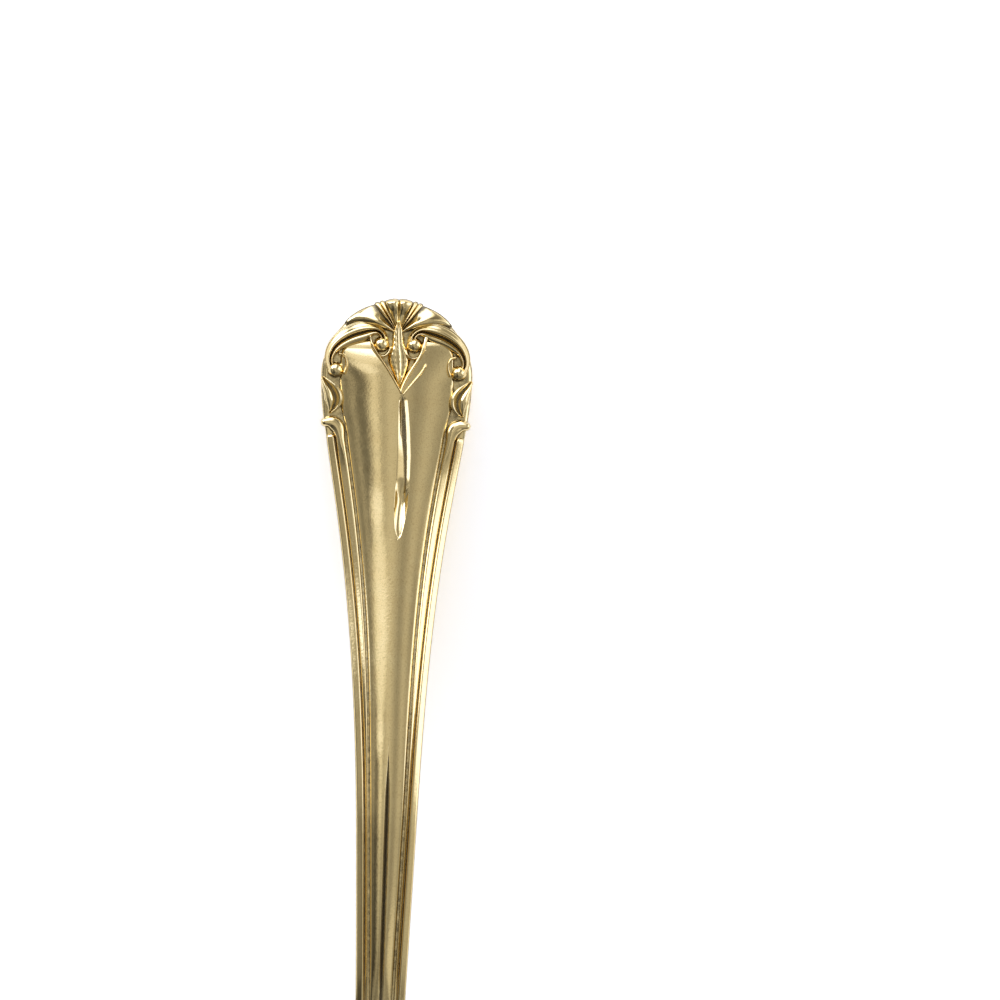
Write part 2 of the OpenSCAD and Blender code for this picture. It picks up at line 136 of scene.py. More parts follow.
# How dark the painted shade and tarnish get: on the ground beside the relief (shade and tarnish), down the
# side walls and along the end's rim (painted shade), on the right wall in the flute (painted shade), inside
# the V (shade and tarnish) and along the rim of the crest (painted shade)
FIELD_SHADE_AND_GRIME = 0.55
WALL_PAINTED_SHADE = 0.25
RIM_PAINTED_SHADE = 0.75
FLUTE_PAINTED_SHADE = 0.7
VEE_SHADE_AND_GRIME = 0.5
CREST_RIM_PAINTED_SHADE = 0.85

# How far each relief piece reaches down into the plate
SEAT = 0.15

# The oval stops a little short of its full length at the tip and the heel, so neither end is a point
TIP_CUT = 0.99995
HEEL_CUT = 0.993

# Columns across half of the spoon's own metal, how near points are welded, and how many points are measured
# to the outline at once
BODY_COLUMNS = 26
WELD = 1e-7
POINTS_AT_ONCE = 2000


def mix(a, b, t):
    return a + (b - a) * t


def clamp01(t):
    return np.clip(t, 0.0, 1.0)


def ease(t):
    c = clamp01(t)
    return c * c * (3 - 2 * c)


def between(d, start, stop):
    return ease((d - start) / (stop - start))


def soft_max(a, b, k):
    return (a + b + np.sqrt((a - b) ** 2 + k * k)) / 2


def place(d):
    return SPOON_LEN / 2 - CREST_LIP - d


# Outline and side view of the handle, by the distance from its end
def plate_half(d):
    d = np.asarray(d, float)
    tip = END_HALF * (1 - clamp01(1 - d / END_AT) ** TIP_POWER) ** (1 / TIP_POWER)
    side = mix(END_HALF, SHOULDER_HALF, clamp01((d - END_AT) / (SHOULDER_AT - END_AT)) ** 2)
    waist = mix(STEM_HALF, NECK_HALF, between(d, ARCH_AT, ROOT_AT))
    fall = np.exp(-(np.maximum(0, d - SHOULDER_AT) / TAPER_LEN) ** TAPER_POWER)
    return np.where(d < END_AT, tip, np.where(d < SHOULDER_AT, side, mix(waist, SHOULDER_HALF, fall)))


def under(d):
    d = np.asarray(d, float)
    span = ARCH_AT - FLAT_LEN
    t = (d - FLAT_LEN) / span
    low = FLAT_LEN * END_SLOPE
    arch = low + (ARCH_H - low) * t * t * (3 - 2 * t) + span * END_SLOPE * t * (1 - t) ** 2
    fall = ARCH_H - (ARCH_H - NECK_H) * ((d - ARCH_AT) / (ROOT_AT - ARCH_AT)) ** 2
    return np.where(d < FLAT_LEN, d * END_SLOPE, np.where(d < ARCH_AT, arch, fall))


def ground(d):
    thick = mix(END_T, STEM_T, between(d, FLAT_LEN, ARCH_AT))
    return under(d) + mix(thick, NECK_T, between(d, ARCH_AT, PLATE_END))


# Shape of the bowl, by the distance from the handle's end
def along(d, inset=0.0):
    return (MID_AT - d) / (HALF_BOWL - inset)


def egg_half(t, inset=0.0):
    c = np.minimum(1, np.abs(t)) * mix(TIP_CUT, HEEL_CUT, t > 0)
    return (BOWL_W / 2 - inset) * np.sqrt(1 - c * c) * (1 + EGG_SHARE * t)


def heel_share(d):
    """0 up to 0.4 of the way from the bowl's middle to its heel, 1 from 0.9 on."""
    return clamp01(along(d) * 2 - 0.8)


def outer_half(d):
    t = along(d)
    flare = BLEND_W * heel_share(d) * mix(ROOT_FLARE, 1, between(d, ROOT_AT, HEEL_AT))
    egg = np.where(t > 1, 0, egg_half(t))
    return np.where(t < 0, egg, soft_max(egg, NECK_HALF, flare))


def dish(t):
    return 1 - np.minimum(1, np.abs(t)) ** ALONG_POWER


def rim_z(d):
    t = along(d)
    heel_z = float(under(HEEL_AT)) + NECK_T
    heel = mix(RIM_H, heel_z, t ** 3)
    return np.where(t > 1, under(d) + NECK_T, np.where(t > 0, heel, RIM_H + TIP_RISE * t * t))


def outer_depth(d):
    t = along(d)
    share = heel_share(d)
    depth = (RIM_H + REST_CUT - RIM_EDGE) * dish(np.minimum(1, np.abs(t)) * HEEL_CUT)
    return np.where(t < 0, depth, soft_max(depth, (NECK_T - RIM_EDGE) * ease(share), DEPTH_BLEND * share))


def bowl_back(d, u):
    power = mix(2 * ACROSS_POWER, ACROSS_POWER, between(d, ROOT_AT, HEEL_AT + ROOT_LEN))
    return np.maximum(0, rim_z(d) - RIM_EDGE - outer_depth(d) * (1 - np.abs(u) ** power))


def neck_crown(d, u):
    """How far the front falls to its edges between the relief and the bowl."""
    start = between(d, RELIEF_END, PLATE_END + 1.5)
    stop = 1 - between(d, ROOT_AT + 1, HEEL_AT + 1)
    return NECK_FALL * np.abs(u) ** NECK_FALL_POWER * start * stop


def bowl_front(d, u):
    t = along(d, RIM_T)
    inner = np.minimum(egg_half(np.clip(t, -1.001, 9), RIM_T), outer_half(d) * HOLLOW_SHARE)
    x = np.abs(u) * outer_half(d)
    s = 1 - (x / np.maximum(inner, 1e-3)) ** ACROSS_POWER
    s = np.where(t < -1, -1, s)
    hollow = (s + np.sqrt(s * s + HOLLOW_SOFT)) / 2
    return rim_z(d) - (RIM_H - BASE_T) * dish(t) * hollow - neck_crown(d, u)


# The whole spoon's outline, for the rounding of its edges
def body_half(d):
    neck = mix(plate_half(d), outer_half(ROOT_AT), between(d, PLATE_END, ROOT_AT))
    return np.where(d < PLATE_END, plate_half(d), np.where(d < ROOT_AT, neck, outer_half(d)))


OUTLINE_D = np.concatenate([
    END_AT * (1 - np.cos(np.linspace(0, math.pi / 2, 240))),
    np.linspace(END_AT, HEEL_AT, 700)[1:],
    MID_AT - HALF_BOWL * np.cos(np.linspace(0, math.pi, 700))[1:]])
OUTLINE = np.stack([body_half(OUTLINE_D), OUTLINE_D], axis=1)


def edge_distance(x, d):
    """Distance to the outline, by the two stretches of it next to the nearest point."""
    points = np.stack([np.abs(x).ravel(), d.ravel()], axis=1)
    found = []
    for part in np.array_split(points, max(1, len(points) // POINTS_AT_ONCE)):
        near = ((part[:, None, :] - OUTLINE[None]) ** 2).sum(axis=2).argmin(axis=1)
        gaps = []
        for step in (-1, 0):
            first = np.clip(near + step, 0, len(OUTLINE) - 2)
            start = OUTLINE[first]
            way = OUTLINE[first + 1] - start
            t = clamp01(((part - start) * way).sum(axis=1) / (way ** 2).sum(axis=1))
            gaps.append(np.linalg.norm(part - start - t[:, None] * way, axis=1))
        found.append(np.minimum(*gaps))
    return np.concatenate(found).reshape(x.shape)


def rounded(e, r):
    return r * (1 - np.sqrt(1 - clamp01(1 - e / r) ** 2))


def body_section(ds, front, back):
    """Rings of the spoon's own metal: back from left to right, then front from right to left."""
    u = np.sin(np.linspace(-math.pi / 2, math.pi / 2, 2 * BODY_COLUMNS + 1))
    d = np.repeat(ds[:, None], len(u), axis=1)
    x = body_half(d) * u
    e = edge_distance(x, d)
    front_round = mix(END_ROUND, FRONT_ROUND, between(d, SHOULDER_AT - 3, SHOULDER_AT))
    top = front(d, u[None]) - rounded(e, front_round)
    low = back(d, u[None], e)
    back_ring = np.stack([x, place(d), low], axis=2)
    front_ring = np.stack([x, place(d), top], axis=2)[:, ::-1]
    # Painted shade and tarnish on the ground beside the relief; painted shade down the side walls and in a
    # thin dark line along the end's rim
    beside_relief = 1 - between(d, RELIEF_END - 10, RELIEF_END)
    field = np.where(d < PLATE_END, FIELD_SHADE_AND_GRIME * ease((e - 0.35) / 0.4) * beside_relief, 0)
    wall = np.where(d < ROOT_AT, WALL_PAINTED_SHADE * (1 - ease((e - 0.05) / 0.2)), 0)
    rim = np.where(d < SHOULDER_AT, RIM_PAINTED_SHADE * np.exp(-((e - 0.12) / 0.1) ** 2), 0)
    front_shade_and_grime = np.maximum(field, np.maximum(wall, rim))
    shade_and_grime = np.concatenate([wall, front_shade_and_grime[:, ::-1]], axis=1)
    return np.concatenate([back_ring, front_ring], axis=1), shade_and_grime


def plate_front(d, u):
    return ground(d) - neck_crown(d, u)


def plate_back(d, u, e):
    return under(d) + rounded(e, BACK_ROUND)


def neck_front(d, u):
    return mix(ground(d), under(d) + NECK_T, between(d, PLATE_END, ROOT_AT)) - neck_crown(d, u)


def neck_back(d, u, e):
    root = bowl_back(np.full_like(d, ROOT_AT), u) - under(ROOT_AT) + under(d)
    return mix(plate_back(d, u, e), root, between(d, PLATE_END, ROOT_AT))


def root_back(d, u, e):
    return bowl_back(d, u)


# Meshes
def closed_mesh(rings, shade_and_tarnish_mark):
    """Rings of points and their marks of painted shade and tarnish, as the vertices and faces of a closed
    skin.
    """
    count, size = rings.shape[:2]
    verts = [tuple(p) for p in rings.reshape(-1, 3)]
    marks = list(np.broadcast_to(shade_and_tarnish_mark, (count, size)).reshape(-1))
    faces = []
    for i in range(count - 1):
        for k in range(size):
            a = i * size + k
            b = i * size + (k + 1) % size
            faces.append((a, b, b + size, a + size))
    for ring in (0, count - 1):
        centre = len(verts)
        verts.append(tuple(rings[ring].mean(axis=0)))
        marks.append(0.0)
        for k in range(size):
            faces.append((ring * size + k, ring * size + (k + 1) % size, centre))
    return verts, faces, marks


def mirrored(part):
    verts, faces, marks = part
    return [(-x, y, z) for x, y, z in verts], faces, marks


def solid(name, node, parts, sharp=50.0):
    verts = []
    faces = []
    marks = []
    for part_verts, part_faces, part_marks in parts:
        start = len(verts)
        verts += [(x * MM, y * MM, z * MM) for x, y, z in part_verts]
        faces += [tuple(start + k for k in face) for face in part_faces]
        marks += part_marks
    mesh = bpy.data.meshes.new(name)
    mesh.from_pydata(verts, [], faces)
    shade_and_tarnish_mark = mesh.attributes.new("shade_and_tarnish_mark", "FLOAT", "POINT")
    shade_and_tarnish_mark.data.foreach_set("value", np.array(marks, dtype=np.float32))
    work = bmesh.new()
    work.from_mesh(mesh)
    bmesh.ops.remove_doubles(work, verts=work.verts, dist=WELD)
    bmesh.ops.dissolve_degenerate(work, dist=WELD, edges=work.edges)
    bmesh.ops.recalc_face_normals(work, faces=work.faces)
    work.to_mesh(mesh)
    work.free()
    mesh.shade_smooth()
    mesh.set_sharp_from_angle(angle=math.radians(sharp))
    obj = bpy.data.objects.new(name, mesh)
    bpy.context.scene.collection.objects.link(obj)
    obj.data.materials.append(GILT)
    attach(obj, "root")
    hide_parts(node)
    return obj


# Sweeps: a profile carried along a route on the ground
def curve(marks, per_mark):
    """A smooth curve through marks, by chord length."""
    marks = np.asarray(marks, float)
    chord = np.concatenate([[0], np.cumsum(np.linalg.norm(np.diff(marks[:, :2], axis=0), axis=1) + 1e-9)])
    n = len(marks)
    gap = np.diff(chord)
    system = np.zeros((n, n))
    right = np.zeros((n, marks.shape[1]))
    system[0, 0] = 1
    system[-1, -1] = 1
    for i in range(1, n - 1):
        system[i, i - 1] = gap[i - 1]
        system[i, i] = 2 * (gap[i - 1] + gap[i])
        system[i, i + 1] = gap[i]
        right[i] = 6 * ((marks[i + 1] - marks[i]) / gap[i] - (marks[i] - marks[i - 1]) / gap[i - 1])
    bend = np.linalg.solve(system, right)
    points = []
    for i in range(n - 1):
        for j in range(per_mark + (i == n - 2)):
            t = j / per_mark
            a = 1 - t
            step = gap[i] ** 2 / 6
            points.append(a * marks[i] + t * marks[i + 1]
                          + step * ((a ** 3 - a) * bend[i] + (t ** 3 - t) * bend[i + 1]))
    return np.array(points)


def shape(marks, v):
    """Smooth height at v through a profile's marks of (v, height), with flat ends."""
    marks = np.asarray(marks, float)
    x, y = marks[:, 0], marks[:, 1]
    slope = np.gradient(y, x)
    slope[0] = slope[-1] = 0
    i = np.clip(np.searchsorted(x, v, side="right") - 1, 0, len(x) - 2)
    w = x[i + 1] - x[i]
    t = clamp01((v - x[i]) / w)
    return ((1 + 2 * t) * (1 - t) ** 2 * y[i] + t * (1 - t) ** 2 * w * slope[i]
            + t * t * (3 - 2 * t) * y[i + 1] - t * t * (1 - t) * w * slope[i + 1])


def dimming(profile, v, low):
    """Painted shade and tarnish across a profile: 1 in its lowest places, 0 on the ridges."""
    h = shape(profile, v)
    return clamp01((low - h) / low) ** 1.2


def sweep(route, heights, profile, across, low, groove=None, lead=None, lead_share=None, veins=0.0):
    """A closed band along a route of (x, d, half width), with domed ends.

    Where lead_share isn't 0 its profile turns into lead.
    """
    route = np.asarray(route, float)
    heights = np.broadcast_to(heights, (len(route),))
    v = np.sin(np.linspace(-math.pi / 2, math.pi / 2, across)) * 0.6 + np.linspace(-1, 1, across) * 0.4
    way = np.gradient(route[:, :2], axis=0)
    way /= np.linalg.norm(way, axis=1)[:, None]
    rows = []
    caps = np.radians(np.linspace(86, 12, 7))
    for a in caps:
        centre = route[0, :2] - way[0] * route[0, 2] * math.sin(a)
        rows.append((centre, way[0], route[0, 2] * math.cos(a), heights[0] * math.cos(a) ** 0.8))
    for i in range(len(route)):
        rows.append((route[i, :2], way[i], route[i, 2], heights[i]))
    for a in caps[::-1]:
        centre = route[-1, :2] + way[-1] * route[-1, 2] * math.sin(a)
        rows.append((centre, way[-1], route[-1, 2] * math.cos(a), heights[-1] * math.cos(a) ** 0.8))
    rings = []
    marks = []
    rise = shape(profile, v)
    # Painted shade and tarnish in the profile's low places and along its groove
    dark = dimming(profile, v, low)
    if groove:
        dark = np.maximum(dark, np.exp(-((v - groove[0]) / groove[1]) ** 2))
    shares = np.zeros(len(rows))
    if lead:
        shares = np.interp(np.arange(len(rows)), np.arange(len(route)) + len(caps), lead_share)
        lead_rise = shape(lead, v)
    for (centre, direction, half, h), share in zip(rows, shares):
        # v = +1 lies to the right of the way of travel, as in the CAD source
        right = np.array([-direction[1], direction[0]])
        x = centre[0] + right[0] * half * v
        d = centre[1] + right[1] * half * v
        z = ground(d) + h * (mix(rise, lead_rise, share) if lead else rise)
        wave = np.sin(2 * math.pi * (1.5 * centre[1] + 0.7 * np.abs(v)))
        z = z + veins * wave * (1 - v * v) * np.abs(v)
        top = np.stack([x, place(d), z], axis=1)
        foot = np.stack([x, place(d), ground(d) - SEAT], axis=1)[[-1, across // 2, 0]]
        rings.append(np.concatenate([top, foot]))
        marks.append(np.concatenate([dark, [1, 1, 1]]))
    return closed_mesh(np.array(rings), np.array(marks))


def dome(x0, d0, radius, h):
    """A ball that stands out of the ground, with painted shade and tarnish round its foot and painted shade
    on its side towards the bowl.
    """
    rows = 18
    around = 48
    angle = np.linspace(0, 2 * math.pi, around, endpoint=False)
    rings = []
    for i in range(rows + 1):
        s = max(0.01, math.sin(math.pi / 2 * i / rows))
        x = x0 + radius * s * np.cos(angle)
        d = d0 + radius * s * np.sin(angle)
        z = ground(d) + h * (1 - s ** 2.2) ** 0.55
        rings.append(np.stack([x, place(d), z], axis=1))
    x = x0 + radius * np.cos(angle) * 0.98
    d = d0 + radius * np.sin(angle) * 0.98
    rings.append(np.stack([x, place(d), ground(d) - SEAT], axis=1))
    t = np.linspace(0, 1, rows + 1)[:, None]
    s = np.sin(math.pi / 2 * t)
    # Painted shade and tarnish towards the ball's foot, and painted shade on its side towards the bowl
    foot = clamp01((t - 0.72) / 0.28) ** 1.5
    shaded = 0.8 * ease((s * np.sin(angle) - 0.3) / 0.5)
    return closed_mesh(np.array(rings), np.concatenate([np.maximum(foot, shaded), np.ones((1, around))]))


def placed(shares):
    scale = np.array([END_HALF, SHOULDER_AT, END_HALF])
    return np.asarray(shares, float) * scale


# Material: worn gilt over brass, with painted shade and tarnish in the recesses, and painted shade on the
# walls, along the rims and on the balls' sides towards the bowl
GILT_PALE = (0.87, 0.7, 0.355)
GILT_WARM = (0.83, 0.64, 0.305)
GILT_SPECK = (0.55, 0.42, 0.19)
# Dark browns of the painted shade and tarnish
SHADE_AND_TARNISH = (0.1, 0.07, 0.03)
SHADE_AND_TARNISH_DEEP = (0.03, 0.021, 0.01)

# Scales of its noises, per metre
PATCH_SCALE = 420
WEAR_SCALE = 900
SHADE_AND_GRIME_SCALE = 1500
DENT_SCALE = 2600
SPECK_SCALE = 5200

# How ragged the painted shade and tarnish are, how much of the gilt they cover, how rough they are, and how
# much of them isn't metal
SHADE_AND_TARNISH_RAGGED = 0.9
SHADE_AND_TARNISH_COVER = 0.85
SHADE_AND_TARNISH_ROUGH = 0.3
SHADE_AND_TARNISH_NONMETAL = 0.5


# Node helpers: each value is a plain one or another node's output
def feed(tree, socket, value):
    if isinstance(value, bpy.types.NodeSocket):
        tree.links.new(value, socket)
    else:
        socket.default_value = value


def math_node(tree, operation, *values, clamp=False):
    node = tree.nodes.new("ShaderNodeMath")
    node.operation = operation
    node.use_clamp = clamp
    for socket, value in zip(node.inputs, values):
        feed(tree, socket, value)
    return node.outputs["Value"]


def range_node(tree, value, start, stop, low=0.0, high=1.0, kind="LINEAR"):
    node = tree.nodes.new("ShaderNodeMapRange")
    node.interpolation_type = kind
    ends = {"Value": value, "From Min": start, "From Max": stop, "To Min": low, "To Max": high}
    for name, setting in ends.items():
        feed(tree, node.inputs[name], setting)
    return node.outputs["Result"]


def ramp_node(tree, value, stops, kind="LINEAR"):
    """A colour ramp through stops of (place, colour)."""
    node = tree.nodes.new("ShaderNodeValToRGB")
    node.color_ramp.interpolation = kind
    elements = node.color_ramp.elements
    for i, (at, colour) in enumerate(stops):
        stop = elements[i] if i < 2 else elements.new(at)
        stop.position = at
        stop.color = (*colour, 1)
    feed(tree, node.inputs["Fac"], value)
    return node.outputs["Color"]


def mix_node(tree, factor, first, second):
    node = tree.nodes.new("ShaderNodeMix")
    node.data_type = "RGBA"
    for name, value in (("Factor", factor), ("A", first), ("B", second)):
        feed(tree, node.inputs[name], value)
    return node.outputs["Result"]


def gilt_material():
    mat = bpy.data.materials.new("gilt_metal")
    mat.use_nodes = True
    tree = mat.node_tree
    skin = tree.nodes["Principled BSDF"]
    coords = tree.nodes.new("ShaderNodeTexCoord").outputs["Object"]

    def noise(scale, detail, rough=0.55):
        node = tree.nodes.new("ShaderNodeTexNoise")
        for name, value in (("Vector", coords), ("Scale", scale), ("Detail", detail), ("Roughness", rough)):
            feed(tree, node.inputs[name], value)
        return node.outputs["Fac"]

    tone = ramp_node(tree, noise(PATCH_SCALE, 3), [(0.32, GILT_PALE), (0.68, GILT_WARM)])
    specks = ramp_node(tree, noise(SPECK_SCALE, 4, 0.7), [(0.52, GILT_PALE), (0.7, GILT_SPECK)])
    gilt = mix_node(tree, 0.5, tone, specks)

    # The marks of painted shade and tarnish, made ragged by a noise, turn the gilt dark brown, less
    # metallic and rougher
    shade_and_tarnish_mark = tree.nodes.new("ShaderNodeAttribute")
    shade_and_tarnish_mark.attribute_name = "shade_and_tarnish_mark"
    shade_and_grime = noise(SHADE_AND_GRIME_SCALE, 4)
    ragged = math_node(tree, "MULTIPLY_ADD", shade_and_grime, SHADE_AND_TARNISH_RAGGED, -SHADE_AND_TARNISH_RAGGED / 2)
    shade_and_tarnish_mask = math_node(tree, "ADD", shade_and_tarnish_mark.outputs["Fac"], ragged, clamp=True)
    depth = range_node(tree, shade_and_tarnish_mask, 0.25, 0.9, high=SHADE_AND_TARNISH_COVER, kind="SMOOTHSTEP")
    shade_and_tarnish_colour = ramp_node(tree, shade_and_grime, [(0.3, SHADE_AND_TARNISH_DEEP), (0.75, SHADE_AND_TARNISH)])
    feed(tree, skin.inputs["Base Color"], mix_node(tree, depth, gilt, shade_and_tarnish_colour))
    feed(tree, skin.inputs["Metallic"], math_node(tree, "MULTIPLY_ADD", depth, -SHADE_AND_TARNISH_NONMETAL, 1.0))

    polish = range_node(tree, noise(WEAR_SCALE, 4), 0.3, 0.7, 0.06, 0.13)
    feed(tree, skin.inputs["Roughness"], math_node(tree, "MULTIPLY_ADD", depth, SHADE_AND_TARNISH_ROUGH, polish))

    bump = tree.nodes.new("ShaderNodeBump")
    bump.inputs["Strength"].default_value = 0.3
    bump.inputs["Distance"].default_value = 0.00002
    feed(tree, bump.inputs["Height"], noise(DENT_SCALE, 5, 0.6))
    feed(tree, skin.inputs["Normal"], bump.outputs["Normal"])
    return mat


GILT = gilt_material()


# The spoon's own metal
TIP_D = END_AT * (1 - np.cos(np.radians(np.linspace(1.2, 90, 46))))
PLATE_D = np.concatenate([TIP_D, np.linspace(END_AT, PLATE_END, 240)[1:]])
NECK_D = np.linspace(PLATE_END, ROOT_AT, 25)
BOWL_D = np.concatenate([np.linspace(ROOT_AT, HEEL_AT, 24)[:-1],
                         MID_AT - HALF_BOWL * np.cos(np.linspace(0, math.pi, 170))])
solid("handle_back", "handle_plate",
      [closed_mesh(*body_section(PLATE_D, plate_front, plate_back))], 60)
solid("spoon_neck", "neck", [closed_mesh(*body_section(NECK_D, neck_front, neck_back))], 60)
solid("spoon_bowl", "bowl", [closed_mesh(*body_section(BOWL_D, bowl_front, root_back))], 60)


# The panel with the flute and the groove
def fade(d):
    return mix(1, 0.12, between(d, RELIEF_END - 12, RELIEF_END))


def inner_thread_w(d):
    return mix(INNER_W, INNER_STEM_W, between(d, SHOULDER_AT + OUTER_W, ARCH_AT))


def inner_thread_x(d):
    return plate_half(d) - OUTER_W - inner_thread_w(d) / 2


def panel_half(d):
    t = clamp01((FIELD_AT + FIELD_ROUND - d) / FIELD_ROUND)
    top = FIELD_HALF * (1 - t ** 4) ** (1 / 4)
    border = mix(2.2, OUTER_W + inner_thread_w(d) + PANEL_GAP, between(d, 12.5, 15.5))
    return np.minimum(top, plate_half(np.maximum(d, END_AT)) - border)


# The flute, a long drop: (distance, its left edge, lowest line, right wall's top, right edge)
DROP = np.array([(11.2, 0.5, 0.54, 0.58, 0.62), (12.0, 0.24, 0.62, 0.9, 1.36),
                 (14.0, 0.23, 0.66, 1.12, 1.6), (16.0, 0.25, 0.72, 1.26, 1.78),
                 (18.7, 0.27, 1.06, 1.42, 1.92), (21.4, 0.2, 1.22, 1.45, 1.84),
                 (22.7, 0.12, 1.15, 1.4, 1.76), (24.7, 0.04, 0.9, 1.35, 1.64),
                 (26.1, 0.07, 0.78, 1.1, 1.42), (27.4, 0.16, 0.7, 0.9, 1.18),
                 (28.2, 0.36, 0.68, 0.8, 0.98), (FLUTE_STOP, 0.66, 0.67, 0.68, 0.69)])


def in_flute(d):
    return DROP[0, 0] < d < DROP[-1, 0]


def drop_lines(d):
    return [float(np.interp(d, DROP[:, 0], DROP[:, k])) for k in range(1, 5)]


def flute_height(x, d):
    """Height of the panel across the flute: a cut with a bright left wall that opens into a round scoop."""
    if not in_flute(d):
        return 0 * x
    left, low, wall, right = drop_lines(d)
    size = between(d, 11.2, 12.4) * clamp01((right - left) / 1.2)
    knots = [left, mix(left, low, 0.12), mix(left, low, 0.9), low, mix(low, wall, 0.85), wall,
             mix(wall, right, 0.85), right]
    levels = np.array([0, -0.06, -0.97, -1, 0.6, 0.85, 0.06, 0]) * LEFT_DEPTH * size
    cut = np.interp(x, knots, levels)
    middle = (left + right) / 2
    v = np.abs(x - middle) / max((right - left) / 2, 1e-3)
    depth = 1.4 * FLUTE_DEPTH * (1 - ease((d - 22.8) / (FLUTE_STOP - 22.8)) * 0.9)
    scoop = -depth * clamp01(1 - v ** 2.4)
    return mix(cut, scoop, between(d, 21.0, 24.6))


def groove_w(d):
    return GROOVE_HALF * between(d, GROOVE_AT, GROOVE_AT + GROOVE_OPEN)


# The tongue: a leaf between the curls inside a raised V, by (distance, half width) and (distance, x)
TONGUE = np.array([(2.7, 0.35), (3.5, 0.6), (4.5, 0.75), (5.4, 0.85), (6.3, 1.3), (7.2, 1.45), (8.3, 1.08),
                   (9.4, 0.62), (10.6, 0.12)])
VEE_LEFT = np.array([(4.5, -3.35), (5.5, -3.07), (6.6, -2.42), (8.45, -1.12), (10.7, 0.26), (11.1, 0.5)])
VEE_RIGHT = np.array([(4.5, 3.35), (5.5, 3.1), (6.5, 2.78), (7.5, 2.24), (10.45, 0.7), (11.1, 0.5)])
CRADLE_LEFT = np.array([(5.63, -3.06), (6.37, -2.52), (6.81, -1.85), (6.5, -1.25), (5.77, -0.88)])
CRADLE_RIGHT = np.array([(6.1, 0.98), (6.5, 1.1), (6.93, 1.55), (6.97, 2.1), (6.57, 2.84), (6.0, 3.3)])
VEE_OUTER = np.array([(7.3, 3.5), (8.0, 3.25), (8.7, 2.85), (10.0, 1.85), (11.35, 0.78)])


def vee_lines(d):
    return [float(np.interp(d, line[:, 0], line[:, 1])) for line in (VEE_LEFT, VEE_RIGHT)]


def vee_inside(x, d):
    """How far inside the V a place lies, below 0 outside it."""
    left, right = vee_lines(d)
    return np.minimum(x - left, right - x)


def panel_height(x, d):
    half = np.maximum(panel_half(d), 1e-3)
    crown = PANEL_EDGE + PANEL_CROWN * half
    top = clamp01((TOP_FALL_AT - d) / TOP_FALL_LEN)
    h = mix(crown, PANEL_EDGE + TOP_EDGE_RISE * top, clamp01(np.abs(x) / half) ** 2)
    # Left of the V the top falls towards the scroll
    h = h - TOP_FALL * top ** 2 * ease((1.5 - x) / 3)
    cut = groove_w(d)
    g = np.abs(x) / np.maximum(cut, 1e-3)
    groove = GROOVE_DEPTH * (cut / GROOVE_HALF) * clamp01(1 - g)
    h = h + flute_height(x, d) - groove
    if d < VEE_LEFT[-1, 0]:
        h = mix(VEE_FLOOR, h, ease((VEE_BORDER - vee_inside(x, d)) / (2 * VEE_BORDER)))
    return h


def panel_shade_and_grime(x, d, inside):
    """Painted shade and tarnish of the panel: at its edges, in the groove and on the ground inside the V,
    and painted shade on the flute's floor and right wall.
    """
    low, wall = drop_lines(d)[1:3]
    fluted = in_flute(d) * (1 - between(d, 21.5, 23.5))
    # Painted shade on the flute's floor and right wall
    dark = FLUTE_PAINTED_SHADE * ease((x - low + 0.06) / 0.1) * ease((wall + 0.02 - x) / 0.1) * fluted
    cut = max(float(groove_w(d)), 1e-3)
    dark = np.maximum(dark, clamp01(1.2 - np.abs(x) / cut) * (cut > 0.05))
    dark = np.maximum(dark, (1 - inside) ** 2 * 0.9)
    inner = VEE_SHADE_AND_GRIME * ease((vee_inside(x, d) + 0.05) / 0.2) * (d < VEE_LEFT[-1, 0])
    return np.maximum(dark, inner)


def panel_part():
    ds = np.concatenate([np.linspace(FIELD_AT + 0.01, 12, 130), np.linspace(12, 34, 150)[1:],
                         np.linspace(34, RELIEF_END, 170)[1:]])
    share = np.linspace(-1, 1, 61)
    rings = []
    marks = []
    for d in ds:
        half = float(panel_half(d))
        lines = drop_lines(d)
        if in_flute(d):
            near = (lines[0] - 0.1, lines[-1] + 0.1)
        else:
            near = (-GROOVE_HALF - 0.2, GROOVE_HALF + 0.2)
        base = half * (0.7 * share + 0.3 * np.sin(share * math.pi / 2))
        local = np.linspace(*near, 53)
        left, right = vee_lines(d)
        spread = np.linspace(-0.3, 0.3, 13) * float(1 - between(d, 11.1, 14.0)) + 1e-4
        x = np.sort(np.clip(np.concatenate([base, local, left + spread, right + spread]), -half, half))
        inside = clamp01((half - np.abs(x)) / PANEL_ROUND)
        z = panel_height(x, d) * np.sqrt(1 - (1 - inside) ** 2)
        y = np.full_like(x, float(place(d)))
        floor_z = float(ground(d))
        top = np.stack([x, y, floor_z + z * float(fade(d))], axis=1)
        foot = np.array([[side * half, y[0], floor_z - SEAT] for side in (1, 0, -1)])
        rings.append(np.concatenate([top, foot]))
        marks.append(np.concatenate([panel_shade_and_grime(x, d, inside), [1, 1, 1]]))
    return closed_mesh(np.array(rings), np.array(marks))


solid("handle_panel", "panel", [panel_part()])

# The leaf of the tongue, and its raised borders as (route, half width, height)
LEAF_DOME = [(-1, 0), (-0.85, 0.45), (-0.5, 0.85), (-0.15, 0.8), (0, 0.92), (0.15, 0.8), (0.5, 0.85),
             (0.85, 0.45), (1, 0)]
RIDGE_PROFILE = [(-1, 0), (-0.8, 0.55), (-0.3, 0.96), (0, 1), (0.3, 0.96), (0.8, 0.55), (1, 0)]
BORDERS = [(VEE_LEFT, 0.22, 1.28), (VEE_RIGHT, 0.36, 1.3), (VEE_OUTER, 0.28, 1.22),
           (CRADLE_LEFT, 0.24, 1.05), (CRADLE_RIGHT, 0.24, 1.05)]


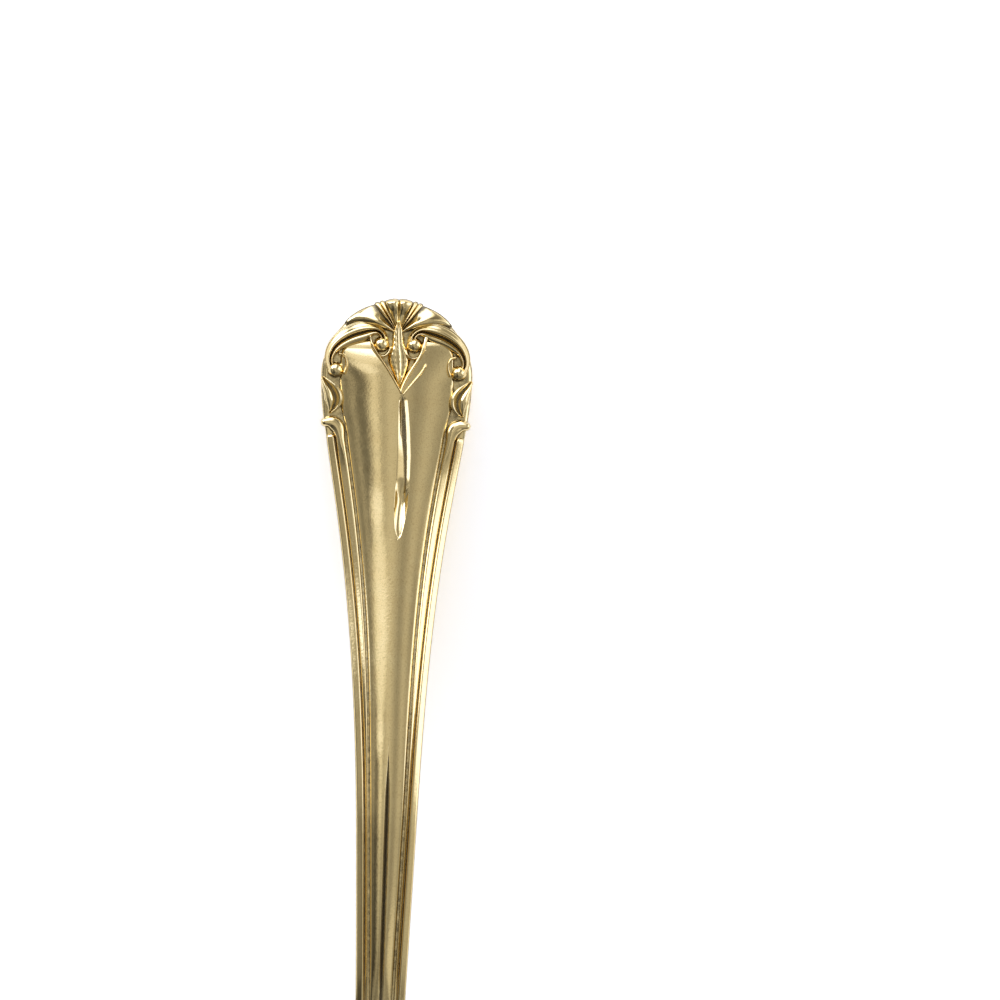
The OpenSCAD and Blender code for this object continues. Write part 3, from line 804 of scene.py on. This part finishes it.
def tongue_parts():
    ds = np.linspace(TONGUE[0, 0], TONGUE[-1, 0], 110)
    half = np.maximum(0.06, shape(TONGUE, ds))
    x = 0.3 * between(ds, FOCUS_AT, 9.0)
    heights = mix(0.75, 1.02, between(ds, 4.0, 7.0))
    parts = [sweep(np.stack([x, ds, half], axis=1), heights, LEAF_DOME, across=37, low=0.3, veins=VEIN_H)]
    for marks, half_width, height in BORDERS:
        route = curve(np.stack([marks[:, 1], marks[:, 0], np.full(len(marks), half_width)], axis=1), 12)
        t = np.linspace(0, 1, len(route))
        parts.append(sweep(route, height * mix(0.72, 1, ease(t * 4)), RIDGE_PROFILE, across=21, low=0.2))
    return parts


solid("tongue_relief", "tongue", tongue_parts())

# The crest: lobes that fan out from a focus to the handle's end
LOBE_EDGES = [0, 0.37, 0.455, 0.54, 1]
OUTER_LOBE = [(0, 0.4), (0.2, 0.8), (0.42, 1), (0.6, 0.9), (0.8, 0.62), (0.94, 0.32), (1, 0.1)]
CENTRE_LOBE = [(0, 0.35), (0.3, 0.4), (0.5, 0.5), (0.65, 0.85), (0.8, 1), (0.93, 0.8), (0.98, 0.45),
               (1, 0.12)]
CREST_SIDE_AT = 0.185 * SHOULDER_AT
CREST_SIDE_POWER = 2.6
OUTER_LEAN = 1.7
OUTER_BEND = 0.14
VALLEY_SHARE = 0.35
FOCUS_GAP = 0.5


def crest_part():
    lobes = zip(LOBE_EDGES, LOBE_EDGES[1:])
    spreads = np.unique(np.concatenate([np.linspace(start, stop, 28) for start, stop in lobes]))
    fan = np.concatenate([-spreads[:0:-1], spreads])
    along_ray = np.concatenate([np.linspace(0, 0.9, 30), np.linspace(0.9, 1, 12)[1:]])
    rings = []
    marks = []
    for q in fan:
        s = abs(q)
        i = min(len(LOBE_EDGES) - 2, int(np.searchsorted(LOBE_EDGES, s, side="right")) - 1)
        v = (s - LOBE_EDGES[i]) / (LOBE_EDGES[i + 1] - LOBE_EDGES[i])
        lean = v ** OUTER_LEAN if i == len(LOBE_EDGES) - 2 else v
        swell = max(0, math.sin(math.pi * lean)) ** 0.6
        end_d = CREST_SIDE_AT * s ** CREST_SIDE_POWER
        end_x = math.copysign(float(plate_half(end_d)), q)
        a = math.atan2(end_x, FOCUS_AT - end_d)
        reach = math.hypot(end_x, FOCUS_AT - end_d) + CREST_LIP * 0.9 * swell
        r = FOCUS_GAP + (reach - FOCUS_GAP) * along_ray
        rise = shape(CENTRE_LOBE if i == 0 else OUTER_LOBE, along_ray)
        h = CREST_H * mix(VALLEY_SHARE, 1, swell) * rise
        bent = a * (1 - OUTER_BEND * ease((s - LOBE_EDGES[-2]) / 0.3) * (1 - along_ray ** 2))
        d = FOCUS_AT - r * np.cos(bent)
        x = r * np.sin(bent)
        top = np.stack([x, place(d), ground(d) + h], axis=1)
        foot = np.stack([x, place(d), ground(d) - SEAT], axis=1)[[-1, len(x) // 2, 0]]
        rings.append(np.concatenate([top, foot]))
        # Painted shade and tarnish in the valleys between the lobes, and a painted dark line of shade along
        # the crest's rim
        rim = CREST_RIM_PAINTED_SHADE * ease((along_ray - 0.955) / 0.025)
        marks.append(np.concatenate([np.maximum((1 - swell) ** 2, rim), [1, 1, 1]]))
    return closed_mesh(np.array(rings), np.array(marks))


solid("crest_fan", "crest", [crest_part()])

# Scrolls, each with a ball in the curl at both ends
SCROLL = placed([[0.215, 0.335, 0.09], [0.187, 0.281, 0.062], [0.262, 0.23, 0.064],
                 [0.43, 0.23, 0.128], [0.622, 0.265, 0.136], [0.765, 0.315, 0.114], [0.852, 0.368, 0.09],
                 [0.895, 0.43, 0.068], [0.888, 0.488, 0.055], [0.828, 0.534, 0.08]])
SCROLL_PROFILE = [(-1, 0), (-0.97, 0.26), (-0.8, 0.5), (-0.5, 0.78), (-0.2, 1), (-0.05, 0.9), (0.15, 0.3),
                  (0.28, 0.6), (0.5, 0.84), (0.72, 0.76), (0.9, 0.45), (1, 0)]


def scroll_part():
    route = curve(SCROLL, 14)
    route[:, 2] = np.maximum(route[:, 2], 0.3)
    t = np.linspace(0, 1, len(route))
    heights = mix(SCROLL_H, BALL_H * 0.9, clamp01(1 - t * 5) + clamp01(t * 6 - 5))
    return sweep(route, heights, SCROLL_PROFILE, across=61, low=0.5, groove=(0.15, 0.1))


# The inner turn of the outer curl, by (distance, x)
CURL = np.array([(6.7, 6.95), (6.92, 6.42), (7.5, 6.14), (8.25, 6.12), (8.95, 6.38)])


def curl_part():
    route = curve(np.stack([CURL[:, 1], CURL[:, 0], np.full(len(CURL), 0.23)], axis=1), 12)
    return sweep(route, 1.02, RIDGE_PROFILE, across=21, low=0.2)


SCROLL_PARTS = [scroll_part(), curl_part(), dome(1.98, 5.4, 0.98, BALL_H), dome(7.4, 8.6, 0.98, BALL_H)]
solid("scroll_right_relief", "scroll_right", SCROLL_PARTS)
solid("scroll_left_relief", "scroll_left", [mirrored(part) for part in SCROLL_PARTS])

# Side leaves
SIDE_LEAF = placed([[0.972, 0.594, 0.033], [0.917, 0.637, 0.078], [0.855, 0.689, 0.116],
                    [0.828, 0.741, 0.125], [0.84, 0.79, 0.092], [0.868, 0.829, 0.033]])
LEAF_PROFILE = [(-1, 0), (-0.97, 0.35), (-0.8, 0.75), (-0.45, 1), (-0.1, 0.8), (0.2, 0.4), (0.5, 0.8),
                (0.78, 0.95), (0.97, 0.4), (1, 0)]


def leaf_part():
    route = curve(SIDE_LEAF, 14)
    t = np.linspace(0, 1, len(route))
    return sweep(route, LEAF_H * mix(0.5, 1, np.sin(math.pi * t)), LEAF_PROFILE, across=49, low=0.5,
                 groove=(0.2, 0.13))


LEAF_PART = leaf_part()
solid("side_leaf_right_relief", "side_leaf_right", [LEAF_PART])
solid("side_leaf_left_relief", "side_leaf_left", [mirrored(LEAF_PART)])

# Threads: the inner one starts in a hook, the outer one follows the edge
HOOK = placed([[0.93, 0.91, 0.06], [0.85, 0.91, 0.092], [0.77, 0.942, 0.1],
               [0.742, 0.98, 0.085]])
# The threads fall away outwards, as the whole end is crowned
THREAD_PROFILE = [(-1, 0), (-0.93, 0.14), (-0.8, 0.38), (-0.6, 0.57), (-0.3, 0.72), (0.1, 0.9), (0.36, 1),
                  (0.56, 0.98), (0.76, 0.8), (0.92, 0.38), (1, 0)]
THREAD_D = np.linspace(SHOULDER_AT + 0.4, RELIEF_END, 220)


def inner_thread_part():
    straight = np.stack([inner_thread_x(THREAD_D), THREAD_D, inner_thread_w(THREAD_D) / 2 - 0.03], axis=1)
    hook = curve(np.concatenate([HOOK, straight[:1]]), 12)[:-1]
    route = np.concatenate([hook, straight])
    lead = mix(HOOK_H, INNER_H, between(route[:, 1], SHOULDER_AT, SHOULDER_AT + 5))
    return sweep(route, lead * fade(route[:, 1]), THREAD_PROFILE, across=33, low=0.42, lead=RIDGE_PROFILE,
                 lead_share=1 - between(route[:, 1], SHOULDER_AT, SHOULDER_AT + 4))


def outer_thread_part():
    half = OUTER_W / 2
    route = np.stack([plate_half(THREAD_D) - half, THREAD_D, np.full_like(THREAD_D, half)], axis=1)
    return sweep(route, OUTER_H * fade(THREAD_D), THREAD_PROFILE, across=33, low=0.42)


INNER_THREAD = inner_thread_part()
OUTER_THREAD = outer_thread_part()
solid("inner_thread_right_relief", "inner_thread_right", [INNER_THREAD])
solid("inner_thread_left_relief", "inner_thread_left", [mirrored(INNER_THREAD)])
solid("outer_thread_right_relief", "outer_thread_right", [OUTER_THREAD])
solid("outer_thread_left_relief", "outer_thread_left", [mirrored(OUTER_THREAD)])

# A pale floor. Camera, glossy and transmission rays see it a little brighter, for a white background.
FLOOR_HALF = 1.5
PAPER = (0.94, 0.93, 0.9, 1)
PAPER_GLOW = 0.45
WHITE = (1, 1, 1, 1)


def paper_material():
    paper = bpy.data.materials.new("paper")
    paper.use_nodes = True
    tree = paper.node_tree
    skin = tree.nodes["Principled BSDF"]
    skin.inputs["Base Color"].default_value = PAPER
    skin.inputs["Roughness"].default_value = 0.9
    skin.inputs["Emission Color"].default_value = WHITE
    rays = tree.nodes.new("ShaderNodeLightPath").outputs
    seen = math_node(tree, "ADD", rays["Is Camera Ray"], rays["Is Glossy Ray"])
    shown = math_node(tree, "ADD", seen, rays["Is Transmission Ray"], clamp=True)
    feed(tree, skin.inputs["Emission Strength"], math_node(tree, "MULTIPLY", shown, PAPER_GLOW))
    return paper


floor = bpy.data.meshes.new("floor")
corners = [(x * FLOOR_HALF, y * FLOOR_HALF, 0) for x, y in ((-1, -1), (1, -1), (1, 1), (-1, 1))]
floor.from_pydata(corners, [], [(0, 1, 2, 3)])
floor.materials.append(paper_material())
floor_obj = bpy.data.objects.new("floor", floor)
bpy.context.scene.collection.objects.link(floor_obj)

# A soft studio all round, as a sky: shares of brightness by angle across and along the spoon. The stops of
# ACROSS from -26 to 31 degrees were worked out from the photo's brightness in three rows across the panel,
# and the rest and the patches were set against it. This is an open fault.
ACROSS = [(-90, 0.1), (-50, 0.4), (-34, 0.36), (-26, 0.34), (-24, 0.16), (-21.5, 0.48), (-18.5, 0.16),
          (-15, 0.18), (-12.5, 0.6), (-10, 0.95), (-8.3, 0.8), (-6, 0.42), (-3.5, 0.56), (-1, 0.66),
          (3, 0.62), (8, 0.48), (13, 0.34), (17, 0.42), (21, 0.58), (24, 0.55), (27, 0.42), (31, 0.34),
          (38, 0.42), (50, 0.6), (90, 0.6)]
ALONG = [(-90, 0.45), (-45, 0.45), (-20, 0.75), (-3, 0.9), (8, 1.0), (90, 1.0)]
# Brighter and darker patches of it: aim, full inside this angle, gone outside that one, strength
SOFTBOXES = [((-0.68, 0.68, 0.27), 13, 26, 4.5), ((-0.02, 0.93, 0.36), 10, 24, 3.0),
             ((-0.1, 0.8, 0.59), 12, 23, 2.4), ((-0.35, 0.8, 0.49), 8, 19, 3.2),
             ((-0.18, 0.4, 0.9), 2, 7, 1.15), ((-0.16, 0.55, 0.82), 3, 10, 1.05),
             ((0.36, -0.26, 0.9), 5, 12, 0.7), ((-0.74, -0.26, 0.62), 8, 20, 0.6),
             ((0.86, 0.42, 0.28), 18, 35, 1.9), ((0.68, 0.38, 0.63), 10, 21, 0.95)]
SHADES = [((-0.5, -0.45, 0.74), 12, 40, 0.68), ((0.45, 0.78, 0.44), 10, 26, 0.5)]
WARM_SKY = (1.0, 0.98, 0.94, 1)
COOL_BOX = (0.92, 1.0, 1.3, 1)


def studio_sky():
    world = bpy.data.worlds.new("studio")
    world.use_nodes = True
    tree = world.node_tree
    direction = tree.nodes.new("ShaderNodeTexCoord").outputs["Generated"]
    split = tree.nodes.new("ShaderNodeSeparateXYZ")
    feed(tree, split.inputs["Vector"], direction)

    def by_angle(angle, stops):
        """Brightness by an angle in radians, through stops in degrees."""
        share = math_node(tree, "ADD", math_node(tree, "DIVIDE", angle, math.pi), 0.5)
        greys = [(degrees / 180 + 0.5, (grey, grey, grey)) for degrees, grey in stops]
        return ramp_node(tree, share, greys, "EASE")

    def patch(aim, inner, outer, strength):
        dot = tree.nodes.new("ShaderNodeVectorMath")
        dot.operation = "DOT_PRODUCT"
        feed(tree, dot.inputs[0], direction)
        feed(tree, dot.inputs[1], Vector(aim).normalized())
        gone = math.cos(math.radians(outer))
        full = math.cos(math.radians(inner))
        return range_node(tree, dot.outputs["Value"], gone, full, high=strength, kind="SMOOTHSTEP")

    across_angle = math_node(tree, "ARCTAN2", split.outputs["X"], split.outputs["Z"])
    along_angle = math_node(tree, "ARCSINE", split.outputs["Y"])
    level = math_node(tree, "MULTIPLY", by_angle(across_angle, ACROSS), by_angle(along_angle, ALONG))
    for box in SOFTBOXES:
        level = math_node(tree, "MAXIMUM", level, patch(*box))
    for shade in SHADES:
        level = math_node(tree, "MULTIPLY", level, math_node(tree, "SUBTRACT", 1.0, patch(*shade)))
    sky = tree.nodes["Background"]
    feed(tree, sky.inputs["Strength"], level)
    # The brightest patches are a little bluer than the rest
    feed(tree, sky.inputs["Color"], mix_node(tree, range_node(tree, level, 0.8, 1.6), WARM_SKY, COOL_BOX))
    return world


bpy.context.scene.world = studio_sky()

# The camera looks down on the handle, tilted to the left and turned a little, as in the photo
TILT = math.radians(3)
TURN = math.radians(1.84)
TARGET_RIGHT = 0.01209
TARGET_DOWN = 0.024
CAMERA_FAR = 0.9

away = Vector((-math.sin(TILT), 0, math.cos(TILT)))
flat_right = Vector((math.cos(TILT), 0, math.sin(TILT)))
right = flat_right * math.cos(TURN) + Vector((0, 1, 0)) * math.sin(TURN)
up = Vector((0, 1, 0)) * math.cos(TURN) - flat_right * math.sin(TURN)
end_point = Vector((0, float(place(0)) * MM, 2.0 * MM))
target = end_point + right * TARGET_RIGHT - up * TARGET_DOWN
camera_data = bpy.data.cameras.new("camera")
camera_data.sensor_width = 36
camera_data.lens = 270
camera = bpy.data.objects.new("camera", camera_data)
camera.matrix_world = Matrix.LocRotScale(
    target + away * CAMERA_FAR, Matrix((right, up, away)).transposed().to_quaternion(), None)
bpy.context.scene.collection.objects.link(camera)
bpy.context.scene.camera = camera
bpy.context.scene.view_settings.view_transform = "Standard"
